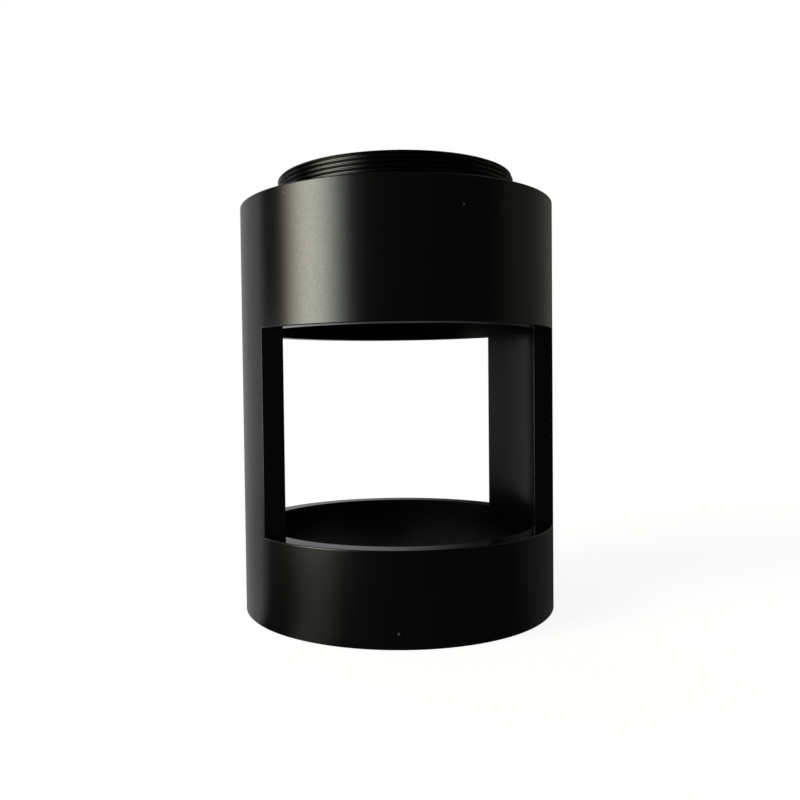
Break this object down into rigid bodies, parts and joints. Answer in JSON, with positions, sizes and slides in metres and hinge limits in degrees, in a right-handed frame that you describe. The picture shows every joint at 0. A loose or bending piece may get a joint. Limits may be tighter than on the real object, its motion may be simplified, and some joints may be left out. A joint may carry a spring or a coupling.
{
  "type": "t-ring adapter",
  "caption": "Black anodised camera adapter tube for a spotting scope: a bored cylinder with opposite finger windows, a seat at the lower end and a fine male camera thread on top.",
  "frame": {"origin": "centre of the lower face, where the tube stands", "axes": "+Z along the optical axis, out of the threaded spigot; -Y straight out of one window; the two posts stand on +X and -X"},
  "size_m": [0.0554, 0.0554, 0.076],
  "materials": {
    "black_anodised": "satin black anodised, turned and milled"
  },
  "bodies": {
    "root": {"adapter_tube": "black_anodised"}
  },
  "joints": []
}
